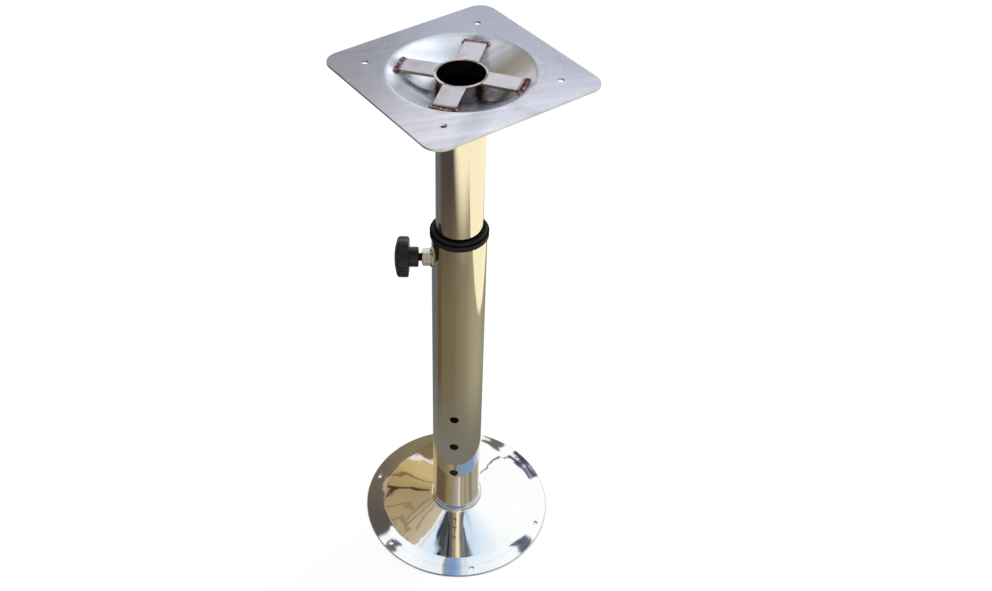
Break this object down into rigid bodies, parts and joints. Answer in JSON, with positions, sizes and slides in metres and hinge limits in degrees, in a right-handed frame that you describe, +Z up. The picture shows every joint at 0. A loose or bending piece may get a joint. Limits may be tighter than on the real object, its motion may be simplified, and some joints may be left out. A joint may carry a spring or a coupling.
{
  "type": "seat pedestal",
  "caption": "Telescoping seat pedestal: round spun floor base, polished sliding tubes with guide collar and clamp knob, and a square dished seat plate with welded gussets.",
  "frame": {"origin": "on the floor, at the centre of the round base", "axes": "+Z up along the column; the seat plate's sides lie along X and Y"},
  "size_m": [0.238, 0.238, 0.66],
  "materials": {
    "polished_stainless": "mirror-polished stainless steel",
    "brushed_stainless": "satin brushed stainless steel",
    "bar_steel": "ground flat bar, tinted beside the welds",
    "bright_steel": "bright turned steel",
    "black_plastic": "semi-matt moulded plastic",
    "nylon": "natural nylon"
  },
  "bodies": {
    "column": {"base_flange": "polished_stainless", "base_rib_1": "bar_steel", "base_rib_2": "bar_steel", "base_rib_3": "bar_steel", "base_rib_4": "bar_steel", "outer_tube": "polished_stainless", "guide_collar": "black_plastic", "weld_nut": "bright_steel"},
    "glide": {"lower_glide": "nylon"},
    "mast": {"inner_tube": "polished_stainless", "seat_plate": "brushed_stainless", "plate_gusset_1": "bar_steel", "plate_gusset_2": "bar_steel", "plate_gusset_3": "bar_steel", "plate_gusset_4": "bar_steel"},
    "clamp_tip": {"thrust_pad": "nylon"},
    "knob": {"clamp_knob": "black_plastic", "clamp_stud": "bright_steel"}
  },
  "joints": [
    {"name": "height_slide", "type": "slide", "parent": "column", "child": "glide", "axis": [0, 0, 1], "range_m": [-0.155, 0.095]},
    {"name": "seat_swivel", "type": "hinge", "parent": "glide", "child": "mast", "pos_m": [0, 0, 0.64], "axis": [0, 0, 1], "continuous": true},
    {"name": "clamp_advance", "type": "slide", "parent": "column", "child": "clamp_tip", "axis": [-0.8121, 0.5835, 0], "range_m": [0, 0.0061]},
    {"name": "knob_turn", "type": "hinge", "parent": "clamp_tip", "child": "knob", "pos_m": [0, 0, 0.4268], "axis": [-0.8121, 0.5835, 0], "range_deg": [0, 1440]}
  ],
  "couplings": [
    {"joint": "clamp_advance", "follows": "knob_turn", "m_per_rad": 0.00023873}
  ]
}
